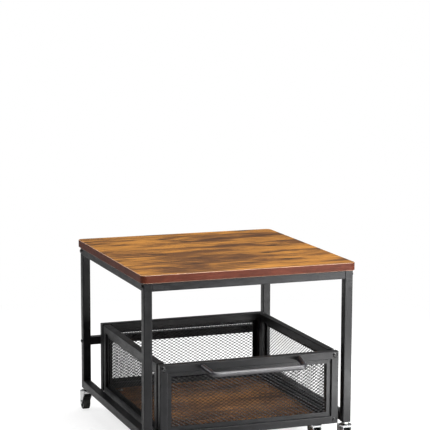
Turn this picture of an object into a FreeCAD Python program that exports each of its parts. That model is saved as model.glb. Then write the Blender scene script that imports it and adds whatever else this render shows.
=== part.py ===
import FreeCAD, Part
import math
import os
from types import SimpleNamespace

import Sketcher

# Mini fridge stand: a laminated tabletop on a bolted square tube frame with four casters, and a mesh
# drawer on four casters of its own that rolls out from under it.
# Millimetres. X to the right, Y to the rear, Z up from the floor, origin under the middle of the whole.

SIZES = {
    # Tabletop
    "board_width": 520.0,
    "board_depth": 538.0,
    "board_thickness": 18.0,
    "board_corner": 14.0,
    "board_edge": 1.0,
    "stand_height": 438.0,
    # Square tube of the stand
    "tube_side": 20.0,
    "tube_wall": 1.2,
    "tube_round": 2.0,
    "leg_inset": 6.0,
    "middle_rail_height": 180.0,
    "foot_block": 24.0,
    "end_block": 14.0,
    "cap_flange": 1.5,
    "cap_depth": 4.0,
    "cap_grip": 0.15,
    # Bolts of the stand
    "bolt_shank": 6.0,
    "bolt_head": 12.0,
    "bolt_head_rise": 3.3,
    "bolt_socket": 4.0,
    "bolt_bite": 11.0,
    "hole_play": 0.2,
    "thread_play": 0.05,
    # Wood screws that hold the tabletop
    "screw_shank": 4.0,
    "screw_head": 8.5,
    "screw_head_rise": 2.4,
    "screw_bite": 13.0,
    "screw_end_distance": 70.0,
    # Drawer
    "drawer_height": 172.0,
    "drawer_proud": 6.5,
    "drawer_side_gap": 16.0,
    "drawer_rear_gap": 30.5,
    "drawer_side": 18.0,
    "drawer_wall": 1.2,
    "drawer_round": 1.6,
    "panel_gap": 9.5,
    "border_width": 10.0,
    "border_thickness": 2.0,
    "border_setback": 5.0,
    "mesh_thickness": 1.2,
    "mesh_margin": 1.0,
    "mesh_long": 38.0,
    "mesh_short": 23.0,
    "mesh_strand": 4.0,
    "base_thickness": 5.0,
    "base_gap": 0.8,
    "strap_width": 40.0,
    "strap_thickness": 2.0,
    "strap_inset": 1.5,
    "drawer_caster_inset": 40.0,
    # Bolts of the drawer's panels and handle
    "panel_bolt_shank": 5.0,
    "panel_bolt_head": 12.5,
    "panel_bolt_rise": 3.2,
    "panel_bolt_socket": 3.5,
    "panel_bolt_bite": 10.0,
    "spacer_diameter": 11.0,
    # Handle
    "handle_bar": 12.0,
    "handle_mounts": 236.0,
    "handle_length": 220.0,
    "handle_reach": 53.5,
    "handle_drop": 7.5,
    "handle_bend": 12.0,
    # Casters
    "caster_height": 58.0,
    "caster_trail": 12.0,
    "wheel_diameter": 38.0,
    "wheel_width": 17.0,
    "wheel_hub": 15.0,
    "wheel_recess": 2.0,
    "wheel_rim": 6.0,
    "wheel_round": 2.0,
    "wheel_side_gap": 0.8,
    "axle_diameter": 5.0,
    "axle_head": 9.0,
    "axle_head_rise": 1.4,
    "fork_plate": 1.6,
    "fork_front": 13.0,
    "fork_rear": 10.0,
    "fork_lip": 7.0,
    "fork_round": 3.0,
    "hood_diameter": 31.0,
    "hood_rise": 6.0,
    "hood_top": 20.0,
    "kingpin": 7.0,
    "kingpin_head": 11.0,
    "kingpin_head_rise": 1.5,
    "collar_rise": 4.0,
    "collar_flats": 13.0,
    "stem": 8.0,
    "leg_stem": 22.0,
    "drawer_stem": 9.5,
    "stem_nut_rise": 6.5,
    "stem_nut_flats": 13.0,
    "nut_hole": 17.0,
    "swivel_play": 0.2,
}

DOC = FreeCAD.newDocument("FridgeStand")
SHEET = DOC.addObject("Spreadsheet::Sheet", "Sizes")
SUB_PARTS = {}


class Amount:
    """A size that knows its number and the expression that binds it to the sheet."""

    def __init__(self, text, value):
        self.text = text
        self.value = value

    def __add__(self, other):
        other = amount(other)
        return Amount(f"({self.text} + {other.text})", self.value + other.value)

    def __sub__(self, other):
        other = amount(other)
        return Amount(f"({self.text} - {other.text})", self.value - other.value)

    def __mul__(self, other):
        other = amount(other)
        return Amount(f"({self.text} * {other.text})", self.value * other.value)

    def __truediv__(self, other):
        other = amount(other)
        return Amount(f"({self.text} / {other.text})", self.value / other.value)

    def __radd__(self, other):
        return amount(other) + self

    def __rsub__(self, other):
        return amount(other) - self

    def __rmul__(self, other):
        return amount(other) * self

    def __neg__(self):
        return self * -1


def amount(thing):
    """Returns thing as an Amount: a plain number keeps its value."""
    return thing if isinstance(thing, Amount) else Amount(f"{thing}", float(thing))


def larger(one, other):
    """Returns the larger of two sizes."""
    return Amount(f"max({one.text}; {other.text})", max(one.value, other.value))


def root(size):
    """Returns the square root of a size."""
    return Amount(f"sqrt({size.text})", math.sqrt(size.value))


def fill_sheet():
    """Writes every driving size into the sheet and returns them by name."""
    for row, (name, value) in enumerate(SIZES.items(), start=1):
        SHEET.set(f"A{row}", name)
        SHEET.set(f"B{row}", f"{value}")
        SHEET.setAlias(f"B{row}", name)
    DOC.recompute()
    return SimpleNamespace(**{name: Amount(f"Sizes.{name}", value) for name, value in SIZES.items()})


S = fill_sheet()

# Places that several pieces share
HALF_TUBE = S.tube_side / 2
LEG_X = S.board_width / 2 - S.leg_inset - HALF_TUBE
LEG_Y = S.board_depth / 2 - S.leg_inset - HALF_TUBE
BOARD_LOW = S.stand_height - S.board_thickness
LEG_TOP = BOARD_LOW - S.cap_flange
TOP_RAIL_Z = BOARD_LOW - HALF_TUBE
FRONT_REACH = LEG_Y + HALF_TUBE + S.drawer_proud + S.handle_reach + S.handle_bar / 2
REAR_REACH = larger(S.board_depth / 2, LEG_Y + S.caster_trail + S.wheel_diameter / 2)
MID_Y = (FRONT_REACH - REAR_REACH) / 2
FRONT_Y = MID_Y - LEG_Y
REAR_Y = MID_Y + LEG_Y
HALF_DRAWER = LEG_X - HALF_TUBE - S.drawer_side_gap
DRAWER_FRONT = FRONT_Y - HALF_TUBE - S.drawer_proud
DRAWER_REAR = REAR_Y - HALF_TUBE - S.drawer_rear_gap
DRAWER_MID_Y = (DRAWER_FRONT + DRAWER_REAR) / 2
DRAWER_LOW = S.caster_height + S.strap_thickness
HANDLE_Z = DRAWER_LOW + S.drawer_height - S.drawer_side / 2
HOOD_TOP = S.caster_height - S.collar_rise - S.swivel_play
BRIDGE_TOP = HOOD_TOP - S.hood_rise
BRIDGE_LOW = BRIDGE_TOP - S.fork_plate
WHEEL_ROOM = S.wheel_width / 2 + S.wheel_side_gap
FORK_SIDE = WHEEL_ROOM + S.fork_plate
AXLE_Z = S.wheel_diameter / 2
SIDES = {"left": -1, "right": 1}
ENDS = {"front": FRONT_Y, "rear": REAR_Y}
CROSS_RAILS = {
    "front_top_rail": (FRONT_Y, TOP_RAIL_Z),
    "rear_top_rail": (REAR_Y, TOP_RAIL_Z),
    "rear_middle_rail": (REAR_Y, S.middle_rail_height),
}
LEGS = {(end, side): (sign * LEG_X, y) for end, y in ENDS.items() for side, sign in SIDES.items()}
DRAWER_CASTERS = {
    (end, side): (sign * (HALF_DRAWER - S.drawer_caster_inset), y)
    for end, y in (
        ("front", DRAWER_FRONT + S.drawer_caster_inset),
        ("rear", DRAWER_REAR - S.drawer_caster_inset),
    )
    for side, sign in SIDES.items()
}
PANEL_BOLT_HEIGHTS = (S.drawer_side / 2, S.drawer_height - S.drawer_side / 2)


def turn(axis, angle):
    """Returns a rotation about a named axis."""
    directions = {"X": FreeCAD.Vector(1, 0, 0), "Y": FreeCAD.Vector(0, 1, 0), "Z": FreeCAD.Vector(0, 0, 1)}
    return FreeCAD.Rotation(directions[axis], angle)


# Rotations that turn a piece made upwards to face a side of the stand
FACING = {
    "left": turn("Y", -90),
    "right": turn("Y", 90),
    "front": turn("X", 90),
    "rear": turn("X", -90),
    "down": turn("X", 180),
}
# Rotations that turn a drawer panel made to face the front
PANEL_TURN = {"front": 0, "rear": 180, "left": -90, "right": 90}


def bind(thing, prop, size):
    """Binds one property to a size."""
    thing.setExpression(prop, amount(size).text)


def place(thing, x=0, y=0, z=0, rotation=None):
    """Places an object by three bound sizes and a fixed rotation."""
    thing.Placement = FreeCAD.Placement(FreeCAD.Vector(), rotation or FreeCAD.Rotation())
    for axis, size in zip("xyz", (x, y, z)):
        bind(thing, f"Placement.Base.{axis}", size)


def fresh(kind, name):
    """Adds an object of a kind under a name of its own."""
    thing = DOC.addObject(kind, name)
    thing.Label = name
    return thing


def box(name, x, y, z):
    """A box between three pairs of low and high sizes."""
    block = fresh("Part::Box", name)
    for prop, (low, high) in zip(("Length", "Width", "Height"), (x, y, z)):
        bind(block, prop, amount(high) - low)
    place(block, x[0], y[0], z[0])
    return block


def rod(name, diameter, low, high, centre=(0, 0)):
    """An upright cylinder between two heights."""
    bar = fresh("Part::Cylinder", name)
    bind(bar, "Radius", amount(diameter) / 2)
    bind(bar, "Height", amount(high) - low)
    place(bar, *centre, low)
    return bar


def cross_rod(name, diameter, along, reach, centre):
    """A cylinder along X or Y, as far each way from its centre as reach."""
    bar = fresh("Part::Cylinder", name)
    bind(bar, "Radius", amount(diameter) / 2)
    bind(bar, "Height", 2 * reach)
    x, y, z = centre
    if along == "X":
        place(bar, x - reach, y, z, FACING["right"])
    else:
        place(bar, x, y - reach, z, FACING["rear"])
    return bar


def taper(name, low_diameter, high_diameter, low, high):
    """An upright cone frustum between two heights."""
    cone = fresh("Part::Cone", name)
    bind(cone, "Radius1", amount(low_diameter) / 2)
    bind(cone, "Radius2", amount(high_diameter) / 2)
    bind(cone, "Height", amount(high) - low)
    place(cone, 0, 0, low)
    return cone


def hexagon(name, flats, low, high):
    """An upright hexagonal prism of a size across its flats."""
    prism = fresh("Part::Prism", name)
    prism.Polygon = 6
    bind(prism, "Circumradius", flats / math.sqrt(3))
    bind(prism, "Height", amount(high) - low)
    place(prism, 0, 0, low)
    return prism


def fuse(name, pieces):
    """Joins pieces into one solid."""
    joined = fresh("Part::MultiFuse", name)
    joined.Shapes = pieces
    joined.Refine = True
    return joined


def group(name, pieces):
    """Keeps pieces as separate solids of one object."""
    compound = fresh("Part::Compound", name)
    compound.Links = pieces
    return compound


def cut(name, base, tools):
    """Takes tools away from a base."""
    result = fresh("Part::Cut", name)
    result.Base = base
    result.Tool = tools[0] if len(tools) == 1 else group(f"{name}_tools", tools)
    return result


def copy(name, original, x=0, y=0, z=0, rotation=None):
    """A copy of a piece in a place of its own."""
    piece = group(name, [original])
    place(piece, x, y, z, rotation)
    return piece


def keep(thing):
    """Registers an object as a sub-part of the product."""
    SUB_PARTS[thing.Label] = thing


def sketch(body, plane, loops):
    """Draws closed polygons on one of the body's own planes."""
    drawing = blank_sketch(body, plane, "outline")
    for corners in loops:
        draw(drawing, corners, closed=True)
    return drawing


def blank_sketch(body, plane, name):
    """Adds an empty sketch on one of the body's own planes."""
    drawing = body.newObject("Sketcher::SketchObject", f"{body.Name}_{name}")
    drawing.AttachmentSupport = (next(f for f in body.Origin.OriginFeatures if f.Role == plane), "")
    drawing.MapMode = "FlatFace"
    return drawing


def draw(drawing, corners, closed, arcs=None):
    """Draws runs through corners bound by their coordinates; arcs gives some runs a centre and a radius."""
    arcs = arcs or {}
    corners = [(amount(u), amount(v)) for u, v in corners]
    points = [FreeCAD.Vector(u.value, v.value, 0) for u, v in corners]
    first = drawing.GeometryCount
    runs = len(points) if closed else len(points) - 1
    for run in range(runs):
        here, there = points[run], points[(run + 1) % len(points)]
        if run in arcs:
            drawing.addGeometry(arc_about(here, there, arcs[run][0]))
        else:
            drawing.addGeometry(Part.LineSegment(here, there))
    for run, corner in enumerate(corners):
        line, end = (first + run, 1) if run < runs else (first + runs - 1, 2)
        for kind, size in zip(("DistanceX", "DistanceY"), corner):
            number = drawing.addConstraint(Sketcher.Constraint(kind, line, end, size.value))
            bind(drawing, f"Constraints[{number}]", size)
        if run < runs and (closed or run < runs - 1):
            follower = first + (run + 1) % runs
            drawing.addConstraint(Sketcher.Constraint("Coincident", line, 2, follower, 1))
    for run, (_, radius) in arcs.items():
        number = drawing.addConstraint(Sketcher.Constraint("Radius", first + run, radius.value))
        bind(drawing, f"Constraints[{number}]", radius)


def arc_about(here, there, centre):
    """An arc from here to there, counterclockwise about a centre."""
    middle = FreeCAD.Vector(centre[0].value, centre[1].value, 0)
    angles = [math.atan2(point.y - middle.y, point.x - middle.x) for point in (here, there)]
    circle = Part.Circle(middle, FreeCAD.Vector(0, 0, 1), here.distanceToPoint(middle))
    return Part.ArcOfCircle(circle, *angles)


def pad(body, drawing, depth, midplane=True, backwards=False):
    """Pads a drawing by a bound depth."""
    feature = body.newObject("PartDesign::Pad", f"{body.Name}_pad")
    feature.Profile = drawing
    feature.Midplane = midplane
    feature.Reversed = backwards
    bind(feature, "Length", depth)
    body.Tip = feature


def spin(body, drawing, axis):
    """Revolves a drawing a full turn about one of the body's own axes."""
    feature = body.newObject("PartDesign::Revolution", f"{body.Name}_spin")
    feature.Profile = drawing
    feature.ReferenceAxis = (next(f for f in body.Origin.OriginFeatures if f.Role == axis), [""])
    feature.Angle = 360
    body.Tip = feature


def fillet(body, radius, wanted):
    """Rounds the wanted edges of the body's tip."""
    DOC.recompute()
    tip = body.Tip
    names = [f"Edge{number}" for number, edge in enumerate(tip.Shape.Edges, start=1) if wanted(edge)]
    feature = body.newObject("PartDesign::Fillet", f"{body.Name}_fillet_{len(body.Group)}")
    feature.Base = (tip, names)
    bind(feature, "Radius", radius)
    body.Tip = feature


def near(one, other):
    """True where two numbers are the same to a ten thousandth."""
    return abs(one - other) < 1e-4


def runs_along(edge, axis):
    """True for a straight edge parallel to an axis, X, Y or Z."""
    if not isinstance(edge.Curve, Part.Line):
        return False
    way = (edge.lastVertex().Point - edge.firstVertex().Point).normalize()
    return near(abs(way["XYZ".index(axis)]), 1)


def rectangle(half_u, half_v):
    """The corners of a rectangle about the sketch's origin."""
    return [(-half_u, -half_v), (half_u, -half_v), (half_u, half_v), (-half_u, half_v)]


def tube(name, along, span):
    """A square tube of the stand, centred on the origin, with rounded outer corners."""
    body = fresh("PartDesign::Body", name)
    plane = {"X": "YZ_Plane", "Y": "XZ_Plane", "Z": "XY_Plane"}[along]
    inner = HALF_TUBE - S.tube_wall
    pad(body, sketch(body, plane, [rectangle(HALF_TUBE, HALF_TUBE), rectangle(inner, inner)]), span)
    across = ["XYZ".index(axis) for axis in "XYZ" if axis != along]

    def outer_corner(edge):
        corner = edge.firstVertex().Point
        return runs_along(edge, along) and all(near(abs(corner[way]), HALF_TUBE.value) for way in across)

    fillet(body, S.tube_round, outer_corner)
    return body


def button_bolt(name, shank, head, rise, socket, reach):
    """A button head bolt with a hexagon socket, its head standing up on the level z = 0."""
    thread = rod(f"{name}_shank", shank, -reach, 0)
    dome = taper(f"{name}_head", head, head * 0.62, 0, rise)
    recess = hexagon(f"{name}_socket", socket, rise * 0.4, rise)
    return cut(name, fuse(f"{name}_blank", [thread, dome]), [recess])


def screw_spots(side):
    """Where the wood screws stand along one side rail, measured from its middle."""
    reach = LEG_Y - HALF_TUBE - S.screw_end_distance
    return [(SIDES[side] * LEG_X, MID_Y + step * reach) for step in (-1, 0, 1)]


def make_tabletop():
    """The board, with a pilot hole for each wood screw."""
    body = fresh("PartDesign::Body", "tabletop_board")
    outline = rectangle(S.board_width / 2, S.board_depth / 2)
    pad(body, sketch(body, "XY_Plane", [outline]), S.board_thickness, midplane=False)
    fillet(body, S.board_corner, lambda edge: runs_along(edge, "Z"))
    levels = (0, S.board_thickness.value)

    def rim(edge):
        bounds = edge.BoundBox
        return any(near(bounds.ZMin, level) and near(bounds.ZMax, level) for level in levels)

    fillet(body, S.board_edge, rim)
    place(body, 0, MID_Y, BOARD_LOW)
    pilots = [
        rod(f"pilot_{side}_{number}", S.screw_shank + 2 * S.thread_play, BOARD_LOW,
            BOARD_LOW + S.screw_bite + S.thread_play, spot)
        for side in SIDES for number, spot in enumerate(screw_spots(side))
    ]
    keep(cut("tabletop", body, pilots))


def make_tabletop_screws():
    """Pan head wood screws up through the side rails into the board."""
    shank = rod("screw_shank", S.screw_shank, 0, S.tube_side + S.screw_bite)
    head = taper("screw_head", S.screw_head * 0.7, S.screw_head, -S.screw_head_rise, 0)
    screw = fuse("screw", [shank, head])
    rail_low = BOARD_LOW - S.tube_side
    keep(group("tabletop_screws", [
        copy(f"screw_{side}_{number}", screw, *spot, rail_low)
        for side in SIDES for number, spot in enumerate(screw_spots(side))
    ]))


def make_legs():
    """The legs: a threaded block in the foot, and a hole through both walls for each rail bolt."""
    rise = LEG_TOP - S.caster_height
    inner = HALF_TUBE - S.tube_wall
    for end in ENDS:
        blank = tube(f"{end}_leg_tube", "Z", rise)
        place(blank, 0, 0, rise / 2)
        foot = box(f"{end}_leg_foot", (-inner, inner), (-inner, inner), (0, S.foot_block))
        tools = [rod(f"{end}_leg_thread", S.stem + 2 * S.thread_play, 0, S.foot_block)]
        for rail, (_, height) in CROSS_RAILS.items():
            if rail.startswith(end):
                tools.append(cross_rod(f"{end}_leg_hole_{rail}", S.bolt_shank + S.hole_play, "X", HALF_TUBE,
                                       (0, 0, height - S.caster_height)))
        leg = cut(f"{end}_leg_shape", fuse(f"{end}_leg_blank", [blank, foot]), tools)
        for side in SIDES:
            keep(copy(f"{end}_{side}_leg", leg, *LEGS[end, side], S.caster_height))


def make_leg_caps():
    """Plastic caps in the top ends of the legs, just under the board."""
    grip = HALF_TUBE - S.tube_wall - S.cap_grip
    flange = box("cap_flange", (-HALF_TUBE, HALF_TUBE), (-HALF_TUBE, HALF_TUBE), (0, S.cap_flange))
    plug = box("cap_plug", (-grip, grip), (-grip, grip), (-S.cap_depth, 0))
    cap = fuse("cap", [flange, plug])
    keep(group("leg_caps", [copy(f"cap_{end}_{side}", cap, *spot, LEG_TOP)
                            for (end, side), spot in LEGS.items()]))


def make_side_rails():
    """The rails welded between the front and the rear leg of each side; the top ones take the screws."""
    span = 2 * (LEG_Y - HALF_TUBE)
    lower = tube("bottom_rail_tube", "Y", span)
    upper = tube("top_rail_tube", "Y", span)
    holes = [
        rod(f"top_rail_hole_{number}", S.screw_shank + S.hole_play, -HALF_TUBE, HALF_TUBE, (0, y - MID_Y))
        for number, (_, y) in enumerate(screw_spots("right"))
    ]
    drilled = cut("top_rail_shape", upper, holes)
    for side, sign in SIDES.items():
        keep(copy(f"{side}_bottom_rail", lower, sign * LEG_X, MID_Y, S.caster_height + HALF_TUBE))
        keep(copy(f"{side}_top_rail", drilled, sign * LEG_X, MID_Y, TOP_RAIL_Z))


def make_cross_rails():
    """The rails between the two side frames, with a threaded block in each end."""
    reach = LEG_X - HALF_TUBE
    inner = HALF_TUBE - S.tube_wall
    pieces = [tube("cross_rail_tube", "X", 2 * reach)]
    threads = []
    for side, sign in SIDES.items():
        half = S.end_block / 2
        x = sign * (reach - half)
        pieces.append(box(f"cross_rail_block_{side}", (x - half, x + half), (-inner, inner), (-inner, inner)))
        threads.append(cross_rod(f"cross_rail_thread_{side}", S.bolt_shank + 2 * S.thread_play, "X", half,
                                 (x, 0, 0)))
    rail = cut("cross_rail_shape", fuse("cross_rail_blank", pieces), threads)
    for name, (y, z) in CROSS_RAILS.items():
        keep(copy(name, rail, 0, y, z))


def make_frame_bolts():
    """Button head bolts through the legs into the ends of the cross rails."""
    bolt = button_bolt("bolt", S.bolt_shank, S.bolt_head, S.bolt_head_rise, S.bolt_socket,
                       S.tube_side + S.bolt_bite)
    keep(group("frame_bolts", [
        copy(f"bolt_{rail}_{side}", bolt, sign * (LEG_X + HALF_TUBE), y, z, FACING[side])
        for rail, (y, z) in CROSS_RAILS.items() for side, sign in SIDES.items()
    ]))


def panel_ring(label, half):
    """The four tubes of a panel as one ring and the hollow in it: outer face on y = 0, foot on z = 0."""
    side = S.drawer_side
    wall = S.drawer_wall
    high = S.drawer_height
    body = fresh("PartDesign::Body", f"{label}_ring")
    outer = [(-half, 0), (half, 0), (half, high), (-half, high)]
    inner = [(side - half, side), (half - side, side), (half - side, high - side), (side - half, high - side)]
    pad(body, sketch(body, "XZ_Plane", [outer, inner]), side, midplane=False, backwards=True)
    fillet(body, S.drawer_round, lambda edge: not runs_along(edge, "Y"))
    room = box(f"{label}_room", (wall - half, half - wall), (wall, side - wall), (wall, high - wall))
    core = box(f"{label}_core", (side - wall - half, half - side + wall), (0, side),
               (side - wall, high - side + wall))
    return body, cut(f"{label}_hollow", room, [core])


def panel_frame(name, half):
    """A drawer panel's frame: the corner bolts pass through it, or end in it on a side panel."""
    label = f"{name}_frame"
    body, hollow = panel_ring(label, half)
    hole = S.panel_bolt_shank + 2 * S.thread_play
    tools = [hollow]
    for side, sign in SIDES.items():
        for number, height in enumerate(PANEL_BOLT_HEIGHTS):
            if name == "side":
                reach = S.drawer_wall / 2
                tools.append(cross_rod(f"{label}_hole_{side}_{number}", hole, "X", reach,
                                       (sign * (half - reach), S.drawer_side / 2, height)))
            else:
                reach = S.drawer_side / 2
                tools.append(cross_rod(f"{label}_hole_{side}_{number}", hole, "Y", reach,
                                       (sign * (half - reach), reach, height)))
        if name == "front":
            tools.append(cross_rod(f"{label}_handle_hole_{side}", hole, "Y", S.drawer_side / 2,
                                   (sign * S.handle_mounts / 2, S.drawer_side / 2, HANDLE_Z - DRAWER_LOW)))
    return cut(f"{label}_shape", body, tools)


def panel_border(name, half):
    """The flat strip welded inside a panel's frame, in front of the mesh."""
    label = f"{name}_border"
    open_half = half - S.drawer_side
    low, high = S.drawer_side, S.drawer_height - S.drawer_side
    inset = S.border_width
    depth = (S.border_setback, S.border_setback + S.border_thickness)
    plate = box(f"{label}_plate", (-open_half, open_half), depth, (low, high))
    window = box(f"{label}_window", (inset - open_half, open_half - inset), depth,
                 (low + inset, high - inset))
    return cut(f"{label}_shape", plate, [window])


def panel_mesh(name, half):
    """The expanded metal sheet behind a panel's border, with its diamonds cut off where the border begins."""
    reach_u = (half - S.drawer_side).value
    reach_v = (S.drawer_height / 2 - S.drawer_side).value
    middle = S.drawer_height.value / 2
    margin = S.mesh_margin.value
    inset = S.border_width.value
    level = (S.border_setback + S.border_thickness).value
    sheet = rectangle(reach_u - margin, reach_v - margin)
    wires = [wire_at(sheet, level, middle)]
    for diamond in diamonds(reach_u, reach_v):
        visible = clip(diamond, reach_u - inset, reach_v - inset)
        if area(visible) > area(diamond) / 8:
            wires.append(wire_at(visible[::-1], level, middle))
    mesh = fresh("Part::Feature", f"{name}_mesh_shape")
    mesh.Shape = Part.Face(wires).extrude(FreeCAD.Vector(0, S.mesh_thickness.value, 0))
    return mesh


def diamonds(reach_u, reach_v):
    """The openings of an expanded sheet about its middle, in staggered rows."""
    cell_u = S.mesh_long.value
    cell_v = S.mesh_short.value
    side = math.hypot(cell_u, cell_v)
    half_u = (cell_u - S.mesh_strand.value * side / cell_v) / 2
    half_v = (cell_v - S.mesh_strand.value * side / cell_u) / 2
    columns = math.ceil(2 * reach_u / cell_u)
    rows = math.ceil(2 * reach_v / cell_v)
    for row in range(-rows, rows + 1):
        for column in range(-columns, columns + 1):
            if (row + column) % 2 == 0:
                u, v = column * cell_u / 2, row * cell_v / 2
                yield [(u + half_u, v), (u, v + half_v), (u - half_u, v), (u, v - half_v)]


def clip(corners, half_u, half_v):
    """The part of a polygon that lies inside a rectangle about the origin."""
    for index, sign, limit in ((0, 1, half_u), (0, -1, half_u), (1, 1, half_v), (1, -1, half_v)):
        kept = []
        for here, there in zip(corners, corners[1:] + corners[:1]):
            beyond, next_beyond = sign * here[index] - limit, sign * there[index] - limit
            if beyond <= 0:
                kept.append(here)
            if beyond * next_beyond < 0:
                share = beyond / (beyond - next_beyond)
                kept.append(tuple(a + share * (b - a) for a, b in zip(here, there)))
        corners = kept
    return corners


def area(corners):
    """The area of a polygon."""
    return abs(sum(a[0] * b[1] - b[0] * a[1] for a, b in zip(corners, corners[1:] + corners[:1]))) / 2


def wire_at(corners, level, middle):
    """A closed wire through corners given about a panel's middle, in the plane y = level."""
    points = [FreeCAD.Vector(u, level, v + middle) for u, v in corners]
    return Part.makePolygon(points + points[:1])


def make_panels():
    """The four sides of the drawer: each has a tube frame, a border and a mesh."""
    wide = HALF_DRAWER
    deep = (DRAWER_REAR - DRAWER_FRONT) / 2 - S.drawer_side - S.panel_gap
    pieces = {
        "frame": {"front": panel_frame("front", wide), "rear": panel_frame("rear", wide),
                  "side": panel_frame("side", deep)},
        "border": {"front": panel_border("wide", wide), "side": panel_border("side", deep)},
        "mesh": {"front": panel_mesh("wide", wide), "side": panel_mesh("side", deep)},
    }
    spots = {
        "front": (0, DRAWER_FRONT),
        "rear": (0, DRAWER_REAR),
        "left": (-HALF_DRAWER, DRAWER_MID_Y),
        "right": (HALF_DRAWER, DRAWER_MID_Y),
    }
    for panel, spot in spots.items():
        for piece, shapes in pieces.items():
            shape = shapes.get(panel) or shapes["side" if panel in SIDES else "front"]
            keep(copy(f"drawer_{panel}_{piece}", shape, *spot, DRAWER_LOW, turn("Z", PANEL_TURN[panel])))


def make_panel_bolts():
    """Bolts at the panels' corners, each through a spacer that keeps the side panels off the other two."""
    grip = S.drawer_side + S.panel_bolt_bite
    bolt = panel_bolt("panel_bolt", grip + S.panel_gap)
    screw = panel_bolt("handle_screw", grip)
    sleeve = cut("spacer", rod("spacer_blank", S.spacer_diameter, 0, S.panel_gap),
                 [rod("spacer_bore", S.panel_bolt_shank + 2 * S.thread_play, 0, S.panel_gap)])
    x = HALF_DRAWER - S.drawer_side / 2
    bolts = []
    spacers = []
    for end, y, way, inner in (
        ("front", DRAWER_FRONT, "rear", DRAWER_FRONT + S.drawer_side),
        ("rear", DRAWER_REAR, "front", DRAWER_REAR - S.drawer_side),
    ):
        for number, height in enumerate(PANEL_BOLT_HEIGHTS):
            for side, sign in SIDES.items():
                spot = f"{end}_{side}_{number}"
                z = DRAWER_LOW + height
                bolts.append(copy(f"panel_bolt_{spot}", bolt, sign * x, y, z, FACING[end]))
                spacers.append(copy(f"spacer_{spot}", sleeve, sign * x, inner, z, FACING[way]))
    keep(group("drawer_panel_bolts", bolts))
    keep(group("drawer_panel_spacers", spacers))
    inside = DRAWER_FRONT + S.drawer_side
    keep(group("handle_screws", [
        copy(f"handle_screw_{side}", screw, sign * S.handle_mounts / 2, inside, HANDLE_Z, FACING["rear"])
        for side, sign in SIDES.items()
    ]))


def panel_bolt(name, reach):
    """A bolt of the size used for the panels and the handle."""
    return button_bolt(name, S.panel_bolt_shank, S.panel_bolt_head, S.panel_bolt_rise, S.panel_bolt_socket,
                       reach)


def make_handle():
    """A round bar bent into a wide bow that dips towards its middle, its ends flat on the front panel."""
    bow = fresh("PartDesign::Body", "handle_bow")
    mount = S.handle_mounts / 2
    half = S.handle_length / 2
    bend = S.handle_bend
    reach = root(S.handle_reach * S.handle_reach + S.handle_drop * S.handle_drop)
    lean = mount - half
    arm = root(lean * lean + reach * reach)
    setback = bend * (arm - lean) / reach
    behind = S.handle_bar
    start = mount + lean / reach * behind
    arm_end = (half + setback * lean / arm, setback * reach / arm - reach)
    bar_end = (half - setback, -reach)
    centre = (half - setback, bend - reach)
    route = blank_sketch(bow, "XY_Plane", "route")
    corners = [(-start, behind), (-arm_end[0], arm_end[1]), (-bar_end[0], bar_end[1]), bar_end, arm_end,
               (start, behind)]
    draw(route, corners, closed=False, arcs={1: ((-centre[0], centre[1]), bend), 3: (centre, bend)})
    section = blank_sketch(bow, "XZ_Plane", "section")
    bind(section, "AttachmentOffset.Base.z", -behind)
    section.addGeometry(Part.Circle(FreeCAD.Vector(-start.value, 0, 0), FreeCAD.Vector(0, 0, 1),
                                    S.handle_bar.value / 2))
    for kind, where, size in (("DistanceX", (0, 3), -start), ("DistanceY", (0, 3), amount(0)),
                              ("Diameter", (0,), S.handle_bar)):
        number = section.addConstraint(Sketcher.Constraint(kind, *where, size.value))
        bind(section, f"Constraints[{number}]", size)
    pipe = bow.newObject("PartDesign::AdditivePipe", "handle_pipe")
    pipe.Profile = section
    pipe.Spine = route
    bow.Tip = pipe
    bow.Placement = FreeCAD.Placement(FreeCAD.Vector(), turn("X", 1))
    bow.setExpression("Placement.Rotation.Angle", f"atan({(S.handle_drop / S.handle_reach).text})")
    wide = start + S.handle_bar
    panel = box("handle_behind", (-wide, wide), (0, 3 * behind), (-reach, reach))
    bite = S.panel_bolt_bite + S.thread_play
    threads = [
        cross_rod(f"handle_thread_{side}", S.panel_bolt_shank + 2 * S.thread_play, "Y", bite,
                  (sign * mount, 0, 0))
        for side, sign in SIDES.items()
    ]
    handle = cut("drawer_handle", bow, [panel] + threads)
    place(handle, 0, DRAWER_FRONT, HANDLE_Z)
    keep(handle)


def make_drawer_base():
    """The bottom board, and the two flat straps welded under the side panels that carry it."""
    inner = HALF_DRAWER - S.drawer_side - S.base_gap
    ends = S.drawer_side + S.base_gap
    top = DRAWER_LOW + S.base_thickness
    board = box("base_board", (-inner, inner), (DRAWER_FRONT + ends, DRAWER_REAR - ends), (DRAWER_LOW, top))
    holes = [
        rod(f"base_hole_{end}_{side}", S.nut_hole, DRAWER_LOW, top, spot)
        for (end, side), spot in DRAWER_CASTERS.items()
    ]
    keep(cut("drawer_bottom_board", board, holes))
    reach = HALF_DRAWER - S.strap_inset
    half_strap = S.strap_width / 2
    x = HALF_DRAWER - S.drawer_caster_inset
    blank = box("strap_blank", (-reach, reach), (-half_strap, half_strap), (0, S.strap_thickness))
    threads = [
        rod(f"strap_hole_{side}", S.stem + 2 * S.thread_play, 0, S.strap_thickness, (sign * x, 0))
        for side, sign in SIDES.items()
    ]
    strap = cut("strap", blank, threads)
    keep(group("drawer_caster_straps", [
        copy(f"strap_{end}", strap, 0, DRAWER_CASTERS[end, "left"][1], S.caster_height) for end in ENDS
    ]))


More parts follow.
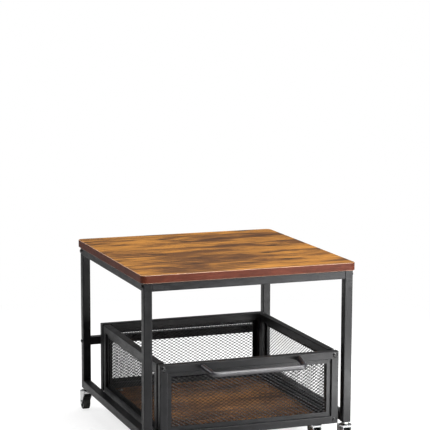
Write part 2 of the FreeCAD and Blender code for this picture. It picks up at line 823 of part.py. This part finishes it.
def make_stem_nuts():
    """Nuts that hold the drawer's caster stems on the straps."""
    blank = hexagon("nut_blank", S.stem_nut_flats, 0, S.stem_nut_rise)
    nut = cut("nut", blank, [rod("nut_thread", S.stem + 2 * S.thread_play, 0, S.stem_nut_rise)])
    keep(group("drawer_caster_nuts", [
        copy(f"nut_{end}_{side}", nut, *spot, DRAWER_LOW) for (end, side), spot in DRAWER_CASTERS.items()
    ]))


def make_stems(kind, spots, rise):
    """Fixed caster stems: a thread, a hexagon collar and the riveted kingpin that the fork turns on."""
    low = BRIDGE_LOW - S.swivel_play
    collar_low = S.caster_height - S.collar_rise
    stem = fuse(f"{kind}_stem", [
        rod(f"{kind}_stem_thread", S.stem, S.caster_height, S.caster_height + rise),
        hexagon(f"{kind}_stem_collar", S.collar_flats, collar_low, S.caster_height),
        rod(f"{kind}_stem_pin", S.kingpin, low, collar_low),
        rod(f"{kind}_stem_head", S.kingpin_head, low - S.kingpin_head_rise, low),
    ])
    keep(group(f"{kind}_caster_stems", [
        copy(f"{kind}_stem_{end}_{side}", stem, *spot) for (end, side), spot in spots.items()
    ]))


def fork_shape():
    """A swivel fork that trails to the rear: a hood on a bridge, and a plate each side of the wheel."""
    trail = S.caster_trail
    rear = trail + S.fork_rear
    boss = S.axle_head / 2 + S.axle_head_rise
    profile = [
        (-S.fork_front, BRIDGE_TOP),
        (-S.fork_front, BRIDGE_TOP - S.fork_lip),
        (trail - boss, AXLE_Z),
        (trail - boss, AXLE_Z - boss),
        (trail + boss, AXLE_Z - boss),
        (trail + boss, AXLE_Z),
        (rear, BRIDGE_TOP - S.fork_lip),
        (rear, BRIDGE_TOP),
    ]
    plates = fresh("PartDesign::Body", "fork_plates")
    pad(plates, sketch(plates, "YZ_Plane", [profile]), 2 * FORK_SIDE)
    bridge = BRIDGE_TOP.value

    def below_bridge(edge):
        return runs_along(edge, "X") and edge.BoundBox.ZMax < bridge - S.fork_plate.value

    fillet(plates, S.fork_round, below_bridge)
    middle = HOOD_TOP - S.hood_rise / 2
    blank = fuse("fork_blank", [
        plates,
        rod("fork_skirt", S.hood_diameter, BRIDGE_TOP, middle),
        taper("fork_dome", S.hood_diameter, S.hood_top, middle, HOOD_TOP),
    ])
    return cut("fork_shape", blank, [
        box("fork_gap", (-WHEEL_ROOM, WHEEL_ROOM), (-S.fork_front, rear), (0, BRIDGE_LOW)),
        rod("fork_pivot", S.kingpin + 2 * S.thread_play, BRIDGE_LOW, HOOD_TOP),
        cross_rod("fork_axle_hole", S.axle_diameter + 2 * S.thread_play, "X", FORK_SIDE, (0, trail, AXLE_Z)),
    ])


def wheel_shape():
    """A wheel turned about its axle, with a recess each side between its hub and its rim."""
    half = S.wheel_width / 2
    radius = S.wheel_diameter / 2
    bore = S.axle_diameter / 2 + S.thread_play
    hub = S.wheel_hub / 2
    rim = radius - S.wheel_rim
    web = half - S.wheel_recess
    profile = [
        (-half, bore), (half, bore), (half, hub), (web, hub), (web, rim), (half, rim), (half, radius),
        (-half, radius), (-half, rim), (-web, rim), (-web, hub), (-half, hub),
    ]
    body = fresh("PartDesign::Body", "wheel_shape")
    spin(body, sketch(body, "XY_Plane", [profile]), "X_Axis")

    def tread_corner(edge):
        bounds = edge.BoundBox
        return near(bounds.XMin, bounds.XMax) and near(bounds.ZMax, radius.value)

    fillet(body, S.wheel_round, tread_corner)
    return body


def axle_shape():
    """A rivet through the fork and the wheel, with a head each side."""
    small = S.axle_head * 0.7
    outer = FORK_SIDE + S.axle_head_rise
    upright = fuse("axle_upright", [
        rod("axle_pin", S.axle_diameter, -FORK_SIDE, FORK_SIDE),
        taper("axle_head_right", S.axle_head, small, FORK_SIDE, outer),
        taper("axle_head_left", small, S.axle_head, -outer, -FORK_SIDE),
    ])
    return copy("axle_shape", upright, rotation=FACING["right"])


def make_casters():
    """The casters of the stand and of the drawer."""
    fork = fork_shape()
    wheel = wheel_shape()
    axle = axle_shape()
    for kind, spots, rise in (("stand", LEGS, S.leg_stem), ("drawer", DRAWER_CASTERS, S.drawer_stem)):
        make_stems(kind, spots, rise)
        for (end, side), (x, y) in spots.items():
            caster = f"{kind}_caster_{end}_{side}"
            keep(copy(f"{caster}_fork", fork, x, y))
            keep(copy(f"{caster}_wheel", wheel, x, y + S.caster_trail, AXLE_Z))
            keep(copy(f"{caster}_axle", axle, x, y + S.caster_trail, AXLE_Z))


def check_and_write():
    """Stops on a failed object or a bad shape, then writes one STEP file for each sub-part."""
    DOC.recompute()
    failed = [thing.Label for thing in DOC.Objects if {"Invalid", "Error"} & set(thing.State)]
    bad = [label for label, thing in SUB_PARTS.items() if thing.Shape.isNull() or not thing.Shape.isValid()]
    if failed or bad:
        raise RuntimeError(f"failed objects: {failed}, bad shapes: {bad}")
    os.makedirs("parts", exist_ok=True)
    for label, thing in SUB_PARTS.items():
        thing.Shape.exportStep(f"parts/{label}.step")
    print(len(SUB_PARTS), "sub-parts written")


make_tabletop()
make_tabletop_screws()
make_legs()
make_leg_caps()
make_side_rails()
make_cross_rails()
make_frame_bolts()
make_panels()
make_panel_bolts()
make_handle()
make_drawer_base()
make_stem_nuts()
make_casters()
check_and_write()
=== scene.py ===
"""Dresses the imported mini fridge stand: finishes, expanded metal at its real pitch, weld beads, light, camera.

Metres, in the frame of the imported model: +X to the right, -Y to the front where the handle is, +Z up.
"""
import math
import bpy
from mathutils import Matrix, Vector


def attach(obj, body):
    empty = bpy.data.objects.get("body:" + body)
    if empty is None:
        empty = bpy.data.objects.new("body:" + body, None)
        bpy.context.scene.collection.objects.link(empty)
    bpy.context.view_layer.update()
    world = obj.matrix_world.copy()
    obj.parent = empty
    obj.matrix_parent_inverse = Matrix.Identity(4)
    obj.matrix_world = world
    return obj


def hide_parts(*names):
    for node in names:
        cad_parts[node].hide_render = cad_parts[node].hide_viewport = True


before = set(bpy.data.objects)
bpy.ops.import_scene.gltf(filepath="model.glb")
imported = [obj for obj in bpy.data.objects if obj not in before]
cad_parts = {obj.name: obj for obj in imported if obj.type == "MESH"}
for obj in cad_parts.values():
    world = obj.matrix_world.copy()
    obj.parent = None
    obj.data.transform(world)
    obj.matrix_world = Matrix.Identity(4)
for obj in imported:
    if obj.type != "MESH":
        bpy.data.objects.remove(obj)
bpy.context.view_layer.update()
MM = 0.001
WHITE = (1, 1, 1, 1)


# ---------------------------------------------------------------- shader helpers
def scaled(colour, factor):
    """A colour made darker or lighter."""
    return tuple(factor * part for part in colour)


class Graph:
    """A node tree in the making. Each call adds one node and returns one of its outputs."""

    def __init__(self, tree):
        self.tree = tree

    def add(self, kind, inputs, output=0, **settings):
        node = self.tree.nodes.new(kind)
        for key, value in settings.items():
            setattr(node, key, value)
        for key, value in inputs.items():
            self.feed(node.inputs[key], value)
        return node.outputs[output]

    def feed(self, socket, value):
        if isinstance(value, bpy.types.NodeSocket):
            self.tree.links.new(value, socket)
        else:
            socket.default_value = value

    def math(self, kind, first, second=0.0, third=0.0):
        return self.add("ShaderNodeMath", {0: first, 1: second, 2: third}, operation=kind)

    def plus(self, first, second):
        return self.math("ADD", first, second)

    def times(self, first, second):
        return self.math("MULTIPLY", first, second)

    def span(self, value, low, high, to_low=0.0, to_high=1.0):
        """A value moved from one range to another, smooth at both ends and held there."""
        return self.add("ShaderNodeMapRange", {
            "Value": value, "From Min": low, "From Max": high, "To Min": to_low, "To Max": to_high},
            interpolation_type="SMOOTHSTEP")

    def split(self, vector):
        node = self.tree.nodes.new("ShaderNodeSeparateXYZ")
        self.feed(node.inputs[0], vector)
        return node.outputs


class Finish(Graph):
    """The graph of one material around its Principled shader."""

    def __init__(self, name, **sockets):
        self.material = bpy.data.materials.new(f"{name}_look")
        self.material.use_nodes = True
        super().__init__(self.material.node_tree)
        self.shader = self.tree.nodes["Principled BSDF"]
        self.place = self.add("ShaderNodeTexCoord", {}, "Object")
        for socket, value in sockets.items():
            self.set(socket.replace("_", " "), value)

    def set(self, socket, value):
        self.feed(self.shader.inputs[socket], value)

    def stretched(self, factors, vector=None):
        return self.add("ShaderNodeMapping", {"Vector": vector or self.place, "Scale": factors})

    def noise(self, scale, vector=None, detail=3.0, roughness=0.5, distortion=0.0):
        return self.add("ShaderNodeTexNoise", {
            "Vector": vector or self.place, "Scale": scale, "Detail": detail,
            "Roughness": roughness, "Distortion": distortion})

    def streaks(self, factors, vector=None, **settings):
        """Noise that is drawn out: the factors say how fast it changes along x, y and z."""
        return self.noise(1.0, self.stretched(factors, vector), **settings)

    def cells(self, factors):
        """Points scattered over the xy plane: the distance to the nearest one and a number drawn for it."""
        node = self.tree.nodes.new("ShaderNodeTexVoronoi")
        node.voronoi_dimensions = "2D"
        self.feed(node.inputs["Scale"], 1.0)
        self.feed(node.inputs["Vector"], self.stretched(factors))
        return node.outputs["Distance"], self.split(node.outputs["Color"])[0]

    def colours(self, value, *stops):
        node = self.tree.nodes.new("ShaderNodeValToRGB")
        ramp = node.color_ramp
        while len(ramp.elements) < len(stops):
            ramp.elements.new(0.5)
        for element, (at, colour) in zip(ramp.elements, stops):
            element.position = at
            element.color = (*colour, 1.0)
        self.feed(node.inputs["Fac"], value)
        return node.outputs["Color"]

    def mix(self, share, first, second):
        node = self.tree.nodes.new("ShaderNodeMix")
        node.data_type = "RGBA"
        self.feed(node.inputs["Factor"], share)
        for key, colour in (("A", first), ("B", second)):
            self.feed(node.inputs[key], colour if isinstance(colour, bpy.types.NodeSocket) else (*colour, 1.0))
        return node.outputs["Result"]

    def relief(self, height, depth, strength, under=None):
        inputs = {"Height": height, "Strength": strength, "Distance": depth}
        if under is not None:
            inputs["Normal"] = under
        return self.add("ShaderNodeBump", inputs)


# ---------------------------------------------------------------- finishes
LACQUER_IOR = 1.5
PLASTIC_IOR = 1.46
BLACK = (0.0062, 0.0062, 0.0068)
BLACK_PLASTIC = (0.012, 0.012, 0.013)
FLOOR_DUST = (0.075, 0.07, 0.062)
# A pale pink line along the arris of the board: partly wear, partly a painted highlight.
ARRIS_WEAR_AND_HIGHLIGHT = (0.60, 0.40, 0.30)


def powder_coat(name, colour, gloss=0.33, peel=1.0, shine=0.23, rub_and_highlight=0.45):
    """Satin black powder coat: orange peel, fine grain, dull patches, and edges painted lighter, partly rubbing
    and partly a painted highlight.

    gloss is the roughness, peel scales the relief, shine is the strength of mirroring, and the last argument sets
    how much the edges are painted lighter: partly wear, partly a painted highlight.
    """
    look = Finish(name, IOR=LACQUER_IOR, Specular_IOR_Level=shine)
    patches = look.noise(scale=14.0, detail=4.0, roughness=0.6)
    grain = look.noise(scale=1500.0, detail=2.0)
    waves = look.noise(scale=330.0, detail=2.0)
    smears = look.streaks((30.0, 30.0, 110.0), detail=5.0, roughness=0.65)
    flecks = look.span(look.noise(scale=900.0, detail=1.0), 0.66, 0.74)
    corner = look.add("ShaderNodeNewGeometry", {}, "Pointiness")
    # Convex edges painted lighter: partly rubbed wear, partly a painted highlight.
    edge = look.times(look.span(corner, 0.52, 0.60), look.span(smears, 0.40, 0.60))
    tint = look.mix(look.span(patches, 0.35, 0.7), scaled(colour, 0.75), scaled(colour, 1.3))
    tint = look.mix(look.times(flecks, 0.5), tint, scaled(colour, 2.6))
    tint = look.mix(look.times(edge, rub_and_highlight), tint, scaled(colour, 4.0))
    look.set("Base Color", tint)
    rough = look.span(smears, 0.3, 0.7, to_low=gloss - 0.05, to_high=gloss + 0.09)
    look.set("Roughness", look.plus(rough, look.times(flecks, 0.08)))
    bumps = look.relief(waves, depth=0.09 * MM * peel, strength=0.7)
    look.set("Normal", look.relief(grain, depth=0.03 * MM * peel, strength=0.6, under=bumps))
    return look.material


def board_flow(look, knots):
    """Where the print is read, bent round the knots, with the dark hearts and the halos of the knots."""
    x, y, z = look.split(look.place)
    drift = look.streaks((2.2, 9.0, 6.0), detail=3.0)
    reach, drawn = look.cells((5.2, 15.0, 1.0))
    kept = look.span(drawn, 0.55, 0.60)
    bend = look.times(look.times(look.span(reach, 0.0, 0.45, 1.0, 0.0), kept), 0.012 * knots)
    lifted = look.plus(y, look.plus(bend, look.times(drift, 0.016)))
    flow = look.add("ShaderNodeCombineXYZ", {"X": x, "Y": lifted, "Z": z})
    heart = look.times(look.span(reach, 0.03, 0.11, 1.0, 0.0), kept)
    halo = look.times(look.span(reach, 0.06, 0.26, 1.0, 0.0), kept)
    return flow, heart, halo


def board_print(look, light, mid, dark, knots):
    """The printed wood: its colour, and the bands, fibres and cracks that other parts of the look need."""
    flow, heart, halo = board_flow(look, knots)
    bands = look.streaks((8.0, 66.0, 45.0), flow, detail=7.0, roughness=0.76, distortion=0.5)
    fibre = look.streaks((11.0, 520.0, 400.0), flow, detail=5.0, roughness=0.72)
    broad = look.streaks((4.6, 15.0, 6.0), flow, detail=4.0, roughness=0.62)
    tone = look.plus(look.times(bands, 0.70), look.times(fibre, 0.30))
    tone = look.plus(tone, look.times(look.math("SUBTRACT", broad, 0.5), 0.60))
    wood = look.colours(tone, (0.33, dark), (0.41, scaled(mid, 0.6)), (0.465, mid), (0.52, light),
                        (0.60, scaled(light, 1.4)))
    wood = look.mix(look.times(halo, 0.50 * knots), wood, scaled(mid, 0.5))
    stain = look.span(look.streaks((15.0, 85.0, 60.0), flow, detail=5.0, roughness=0.7), 0.54, 0.66)
    wood = look.mix(look.times(stain, 0.62), wood, scaled(mid, 0.42))
    lines = look.span(look.streaks((6.0, 260.0, 200.0), flow, detail=4.0, roughness=0.65), 0.50, 0.62)
    wood = look.mix(look.times(lines, 0.55), wood, scaled(mid, 0.30))
    wood = look.mix(look.times(heart, 0.85 * knots), wood, scaled(dark, 0.45))
    crack = look.span(look.streaks((13.0, 300.0, 120.0), flow, detail=3.0, roughness=0.75), 0.655, 0.71)
    wood = look.mix(look.times(crack, 0.8), wood, scaled(dark, 0.4))
    return wood, bands, fibre, crack


def rustic_board(name, light, mid, dark, edge, knots=1.0, sheen=0.30):
    """Laminate printed as old brown boards: streaks along x, knots, cracks; darker edge band, and a pale arris
    line that is partly wear and partly a painted highlight.
    """
    look = Finish(name, IOR=LACQUER_IOR)
    wood, bands, fibre, crack = board_print(look, light, mid, dark, knots)
    facing = look.math("ABSOLUTE", look.split(look.add("ShaderNodeNewGeometry", {}, "Normal"))[2])
    upright = look.span(facing, 0.25, 0.55, 1.0, 0.0)
    arris = look.times(look.span(facing, 0.30, 0.50), look.span(facing, 0.985, 0.995, 1.0, 0.0))
    band = look.mix(look.span(bands, 0.35, 0.65), scaled(edge, 0.66), scaled(edge, 1.25))
    band = look.mix(look.times(look.span(fibre, 0.42, 0.6), 0.35), band, scaled(edge, 0.5))
    wood = look.mix(upright, wood, band)
    # The pale arris line is partly wear and partly a painted highlight.
    arris_wear_and_highlight = look.times(arris, look.span(look.noise(scale=60.0, detail=4.0), 0.15, 0.5))
    wood = look.mix(look.times(arris_wear_and_highlight, 0.8), wood, ARRIS_WEAR_AND_HIGHLIGHT)
    look.set("Base Color", wood)
    look.set("Specular IOR Level", look.math("MULTIPLY_ADD", upright, -0.10, 0.19))
    satin = look.math("MULTIPLY_ADD", fibre, 0.22, sheen)
    look.set("Roughness", look.plus(satin, look.times(crack, 0.2)))
    pores = look.math("SUBTRACT", fibre, look.times(crack, 0.8))
    look.set("Normal", look.relief(pores, depth=0.15 * MM, strength=0.6))
    return look.material


def bright_metal(name, colour, roughness, scuffs):
    """Plated steel: bright, with drawing lines, dull spots and a few fine scuffs."""
    look = Finish(name, Metallic=1.0)
    clouds = look.noise(scale=60.0, detail=4.0, roughness=0.6)
    lines = look.streaks((300.0, 300.0, 2600.0), detail=3.0, roughness=0.7)
    look.set("Base Color", look.mix(look.span(clouds, 0.35, 0.7), scaled(colour, 0.86), colour))
    rough = look.math("MULTIPLY_ADD", clouds, scuffs, roughness)
    look.set("Roughness", look.plus(rough, look.times(lines, 0.5 * scuffs)))
    look.set("Normal", look.relief(lines, depth=0.01 * MM, strength=0.3))
    return look.material


def wheel_plastic(name):
    """Black moulded wheel: smooth flanks, a tread that has picked up floor dust."""
    look = Finish(name, IOR=LACQUER_IOR)
    _, deep, up = look.split(look.add("ShaderNodeTexCoord", {}, "Generated"))
    deep = look.math("SUBTRACT", deep, 0.5)
    up = look.math("SUBTRACT", up, 0.5)
    radius = look.math("SQRT", look.plus(look.times(deep, deep), look.times(up, up)))
    tread = look.span(radius, 0.44, 0.495)
    dust = look.times(tread, look.span(look.noise(scale=240.0, detail=5.0, roughness=0.7), 0.40, 0.65))
    look.set("Base Color", look.mix(look.times(dust, 0.55), BLACK_PLASTIC, FLOOR_DUST))
    flank = look.math("MULTIPLY_ADD", look.noise(scale=90.0), 0.14, 0.30)
    look.set("Roughness", look.math("MULTIPLY_ADD", tread, 0.18, flank))
    look.set("Normal", look.relief(look.noise(scale=700.0), depth=0.05 * MM, strength=0.5))
    return look.material


def moulded(name, colour):
    """Moulded plastic: matt, with a fine grain."""
    look = Finish(name, IOR=PLASTIC_IOR)
    grain = look.noise(scale=1500.0)
    look.set("Base Color", look.mix(look.span(look.noise(scale=40.0), 0.35, 0.65), colour, scaled(colour, 1.5)))
    look.set("Roughness", look.span(grain, 0.3, 0.7, to_low=0.42, to_high=0.6))
    look.set("Normal", look.relief(grain, depth=0.04 * MM, strength=0.6))
    return look.material


LOOKS = {
    "wood_top": rustic_board("wood_top", light=(0.248, 0.104, 0.0160), mid=(0.112, 0.042, 0.0090),
                             dark=(0.018, 0.0063, 0.0024), edge=(0.098, 0.0255, 0.0140)),
    "base_board": rustic_board("base_board", light=(0.25, 0.112, 0.032), mid=(0.125, 0.052, 0.016),
                               dark=(0.024, 0.009, 0.004), edge=(0.09, 0.045, 0.03), knots=0.6, sheen=0.42),
    "black_steel": powder_coat("black_steel", BLACK),
    "black_mesh": powder_coat("black_mesh", BLACK, gloss=0.34, peel=0.6),
    # The handle's coat is a lighter, lilac-tinted copy of the frame's black: partly a painted highlight.
    "black_handle": powder_coat("black_handle", (0.013, 0.012, 0.0155), gloss=0.36, peel=0.1, shine=1.0, rub_and_highlight=0.0),
    "black_bolts": powder_coat("black_bolts", (0.004, 0.004, 0.005), gloss=0.10, peel=0.0, shine=0.75, rub_and_highlight=0.0),
    "black_plastic": moulded("black_plastic", BLACK_PLASTIC),
    "black_wheel": wheel_plastic("black_wheel"),
    "chrome": bright_metal("chrome", (0.90, 0.91, 0.92), roughness=0.07, scuffs=0.10),
    "zinc_steel": bright_metal("zinc_steel", (0.60, 0.60, 0.57), roughness=0.26, scuffs=0.20),
}
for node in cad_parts.values():
    for index, packed in enumerate(node.data.materials):
        node.data.materials[index] = LOOKS[packed.name]


# ---------------------------------------------------------------- pieces
def stand_up(name, data):
    """A new object in the scene that holds a mesh, a lamp or a camera."""
    made = bpy.data.objects.new(name, data)
    bpy.context.scene.collection.objects.link(made)
    return made


def piece(name, points, faces, body, slot, replaces=(), smooth=False):
    """A new mesh that rides on a body, takes a slot's finish and stands for the named CAD nodes."""
    mesh = bpy.data.meshes.new(name)
    mesh.from_pydata(points, [], faces)
    mesh.validate()
    mesh.update()
    for polygon in mesh.polygons:
        polygon.use_smooth = smooth
    mesh.materials.append(LOOKS[slot])
    made = stand_up(name, mesh)
    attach(made, body)
    if replaces:
        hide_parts(*replaces)
    return made


# Expanded metal at its real pitch: zigzag strands that touch the rows above and below, each strand tilted.
LONG_PITCH = 12.7 * MM
SHORT_PITCH = 7.7 * MM
STRAND_WIDE = 1.3 * MM
STRAND_THICK = 0.85 * MM
STRAND_TILT = math.radians(35)
KNUCKLE = 2.2 * MM
SWING = 1.22 * MM
# How far a sheet lies behind the outer face of its frame, and the height of its middle.
SHEET_DEPTH = 7.85 * MM
SHEET_MIDDLE = 146 * MM
# Half the number of half pitches in a row of the front and rear sheets and of the side sheets, and of rows.
WIDE_COUNT = 31
DEEP_COUNT = 30
ROWS = 16
DRAWER_FRONT = -247 * MM
DRAWER_REAR = 235 * MM
DRAWER_HALF = 218 * MM
DRAWER_MIDDLE = (DRAWER_FRONT + DRAWER_REAR) / 2


def strand_section():
    """The four corners of a strand as (depth, height), tilted so that its outer face looks up."""
    corners = []
    for along, through in ((-1, -1), (1, -1), (1, 1), (-1, 1)):
        wide = along * STRAND_WIDE / 2
        thick = through * STRAND_THICK / 2
        corners.append((thick * math.cos(STRAND_TILT) + wide * math.sin(STRAND_TILT),
                        wide * math.cos(STRAND_TILT) - thick * math.sin(STRAND_TILT)))
    return corners


def expanded_metal(half_count):
    """One sheet in its own frame: x along it, y into the drawer, z up, centred on the sheet's middle."""
    points = []
    faces = []
    section = strand_section()
    for row in range(-ROWS, ROWS + 1):
        first = len(points)
        stations = []
        for step in range(-half_count, half_count + 1):
            side = 1 if (step + row) % 2 == 0 else -1
            middle = step * LONG_PITCH / 2
            height = row * SHORT_PITCH / 2 + side * SWING
            stations += [(middle - KNUCKLE / 2, height), (middle + KNUCKLE / 2, height)]
        for along, height in stations:
            points += [(along, depth, height + rise) for depth, rise in section]
        for place in range(len(stations) - 1):
            near, far = first + 4 * place, first + 4 * place + 4
            faces += [(near + k, near + (k + 1) % 4, far + (k + 1) % 4, far + k) for k in range(4)]
        last = first + 4 * (len(stations) - 1)
        faces += [(first + 3, first + 2, first + 1, first), (last, last + 1, last + 2, last + 3)]
    return points, faces


def hang_sheet(side, origin, turn, half_count):
    """The sheet set behind the border of one side of the drawer."""
    points, faces = expanded_metal(half_count)
    cosine, sine = math.cos(turn), math.sin(turn)
    placed = []
    for x, y, z in points:
        y += SHEET_DEPTH
        placed.append((origin[0] + x * cosine - y * sine, origin[1] + x * sine + y * cosine, z + SHEET_MIDDLE))
    piece(f"{side}_expanded_metal", placed, faces, "drawer", "black_mesh", (f"drawer_{side}_mesh",))


hang_sheet("front", (0, DRAWER_FRONT), 0, WIDE_COUNT)
hang_sheet("rear", (0, DRAWER_REAR), math.pi, WIDE_COUNT)
hang_sheet("left", (-DRAWER_HALF, DRAWER_MIDDLE), -math.pi / 2, DEEP_COUNT)
hang_sheet("right", (DRAWER_HALF, DRAWER_MIDDLE), math.pi / 2, DEEP_COUNT)


# Fillet welds where the side rails meet the legs: quarter rounds with the ripple of the torch.
LEG_MIDDLE = 244 * MM
FRONT_LEG_FACE = -220.5 * MM
REAR_LEG_FACE = 265.5 * MM
LOW_RAIL_TOP = 78 * MM
HIGH_RAIL_FOOT = 400 * MM
BEAD_HALF = 8.6 * MM
BEAD_RADIUS = 2.0 * MM
RIPPLE = 1.5 * MM
RIPPLE_SHARE = 0.09
RIPPLE_BOW = 0.35
# A bead starts and ends at this share of its full radius and grows to it at this rate.
TAPER_START = 0.3
TAPER_RATE = 6
BEAD_STEPS = 56
ARC_STEPS = 7


def weld_bead(points, faces, middle, corner_y, corner_z, along_y, along_z):
    """One bead along x in the corner of two faces; along_y and along_z say which way the corner opens."""
    first = len(points)
    ring = ARC_STEPS + 2
    for step in range(BEAD_STEPS + 1):
        share = step / BEAD_STEPS
        x = middle + (2 * share - 1) * BEAD_HALF
        taper = min(1.0, TAPER_RATE * share + TAPER_START, TAPER_RATE * (1 - share) + TAPER_START)
        for turn in range(ARC_STEPS + 1):
            angle = math.pi / 2 * turn / ARC_STEPS
            bow = math.sin(2 * angle)
            wave = math.sin(2 * math.pi * (x + RIPPLE_BOW * bow * RIPPLE) / RIPPLE)
            radius = BEAD_RADIUS * taper * (1 + RIPPLE_SHARE * wave * bow)
            points.append((x, corner_y + along_y * radius * math.cos(angle),
                           corner_z + along_z * radius * math.sin(angle)))
        points.append((x, corner_y, corner_z))
    for step in range(BEAD_STEPS):
        near, far = first + ring * step, first + ring * (step + 1)
        faces += [(near + k, near + (k + 1) % ring, far + (k + 1) % ring, far + k) for k in range(ring)]
    last = first + ring * BEAD_STEPS
    faces += [tuple(first + k for k in reversed(range(ring))), tuple(last + k for k in range(ring))]


def weld_legs():
    """Beads above the low rail and below the high rail of each side, at both legs, with normals put right."""
    points, faces = [], []
    for middle in (-LEG_MIDDLE, LEG_MIDDLE):
        for face_y, along_y in ((FRONT_LEG_FACE, 1), (REAR_LEG_FACE, -1)):
            for face_z, along_z in ((LOW_RAIL_TOP, 1), (HIGH_RAIL_FOOT, -1)):
                weld_bead(points, faces, middle, face_y, face_z, along_y, along_z)
    made = piece("leg_weld_beads", points, faces, "stand", "black_steel", smooth=True)
    bpy.context.view_layer.objects.active = made
    made.select_set(True)
    bpy.ops.object.mode_set(mode="EDIT")
    bpy.ops.mesh.select_all(action="SELECT")
    bpy.ops.mesh.normals_make_consistent(inside=False)
    bpy.ops.object.mode_set(mode="OBJECT")
    made.select_set(False)


weld_legs()


# ---------------------------------------------------------------- floor, light and camera
FLOOR_HALF = 30.0
# What the floor gives back to soft light and to mirroring faces, and what the eye sees of it under the stand.
BOUNCED = (0.78, 0.78, 0.78, 1)
MIRRORED = (0.52, 0.52, 0.52, 1)
SHADED = (0.30, 0.30, 0.30, 1)
GLOW = 0.76
# The seen floor turns white between these distances from the middle.
WHITE_FROM = 0.7
WHITE_BEYOND = 1.6
# The light of the surroundings in front of the stand and behind it.
FRONT_LIGHT = 0.04
REAR_LIGHT = 0.18
CAMERA_PLACE = (-1.30691, -3.57132, 1.08943)
CAMERA_TURN = math.radians(-20.1194)
CAMERA_TILT = math.radians(90 - 8.40795)
CAMERA_ROLL = math.radians(0.1562)
CAMERA_LENS = 134.67
SENSOR_WIDTH = 36.0
CLIP_END = 100.0


def lay_floor():
    """A plain pale floor with a soft shadow, white further off, and seen through from below."""
    half = FLOOR_HALF
    mesh = bpy.data.meshes.new("floor")
    mesh.from_pydata([(-half, -half, 0), (half, -half, 0), (half, half, 0), (-half, half, 0)], [], [(0, 1, 2, 3)])
    floor = stand_up("floor", mesh)
    look = Finish("floor")
    rays = look.tree.nodes.new("ShaderNodeLightPath").outputs
    seen = look.math("MAXIMUM", rays["Is Camera Ray"], rays["Is Transmission Ray"])
    bounced = look.add("ShaderNodeBsdfDiffuse", {"Color": BOUNCED})
    mirrored = look.add("ShaderNodeBsdfDiffuse", {"Color": MIRRORED})
    plain = look.add("ShaderNodeMixShader", {0: rays["Is Glossy Ray"], 1: bounced, 2: mirrored})
    shaded = look.add("ShaderNodeBsdfDiffuse", {"Color": SHADED})
    glow = look.add("ShaderNodeEmission", {"Color": WHITE, "Strength": GLOW})
    white = look.add("ShaderNodeEmission", {"Color": WHITE, "Strength": 1.0})
    near = look.add("ShaderNodeAddShader", {0: shaded, 1: glow})
    distance = look.add("ShaderNodeVectorMath", {0: look.place}, "Value", operation="LENGTH")
    away = look.span(distance, WHITE_FROM, WHITE_BEYOND)
    both = look.add("ShaderNodeMixShader", {0: away, 1: near, 2: white})
    lit = look.add("ShaderNodeMixShader", {0: seen, 1: plain, 2: both})
    below = look.add("ShaderNodeNewGeometry", {}, "Backfacing")
    clear = look.add("ShaderNodeBsdfTransparent", {})
    surface = look.add("ShaderNodeMixShader", {0: below, 1: lit, 2: clear})
    look.feed(look.tree.nodes["Material Output"].inputs["Surface"], surface)
    mesh.materials.append(look.material)


def light_world():
    """Surroundings that the camera sees white and that light the model dimly, more from behind."""
    world = bpy.data.worlds.new("studio")
    world.use_nodes = True
    graph = Graph(world.node_tree)
    background = world.node_tree.nodes["Background"].inputs
    seen = graph.add("ShaderNodeLightPath", {}, "Is Camera Ray")
    _, along, _ = graph.split(graph.add("ShaderNodeTexCoord", {}, "Generated"))
    behind = graph.span(along, -0.5, 0.3, to_low=FRONT_LIGHT, to_high=REAR_LIGHT)
    graph.feed(background["Strength"], graph.math("MAXIMUM", seen, behind))
    graph.feed(background["Color"], WHITE)
    bpy.context.scene.world = world


def lamp(name, place, target, size, power):
    """A rectangular area lamp aimed at a point and hidden from the camera."""
    data = bpy.data.lights.new(name, "AREA")
    data.shape = "RECTANGLE"
    data.size, data.size_y = size
    data.energy = power
    made = stand_up(name, data)
    made.location = place
    made.visible_camera = False
    aim = made.location - Vector(target)
    made.rotation_euler = aim.to_track_quat("Z", "Y").to_euler()


def camera():
    """The photograph's camera, from the fit to its measured points."""
    data = bpy.data.cameras.new("camera")
    data.sensor_width = SENSOR_WIDTH
    data.lens = CAMERA_LENS
    data.clip_end = CLIP_END
    made = stand_up("camera", data)
    made.location = CAMERA_PLACE
    turn = Matrix.Rotation(CAMERA_TURN, 3, "Z")
    tilt = Matrix.Rotation(CAMERA_TILT, 3, "X")
    roll = Matrix.Rotation(CAMERA_ROLL, 3, "Z")
    made.rotation_euler = (turn @ tilt @ roll).to_euler()
    bpy.context.scene.camera = made


lay_floor()
light_world()
lamp("key_right", place=(2.2, -1.6, 2.3), target=(0, 0, 0.25), size=(1.4, 1.4), power=92)
lamp("fill_left", place=(-1.9, 1.3, 2.2), target=(-0.45, 0.4, 0.0), size=(1.0, 1.0), power=26)
lamp("top", place=(0.3, 0.2, 2.6), target=(0, 0, 0.2), size=(1.8, 1.8), power=78)
lamp("low_right", place=(0.44, -0.64, 0.05), target=(0.25, -0.24, 0.10), size=(0.34, 0.06), power=1.6)
lamp("front_right", place=(0.95, -1.65, 0.30), target=(0.2, -0.24, 0.25), size=(0.6, 0.36), power=15)
lamp("front_strip", place=(0.45, -1.5, 1.7), target=(0.1, -0.25, 0.25), size=(1.1, 0.26), power=30)
camera()
bpy.context.scene.view_settings.view_transform = "Standard"
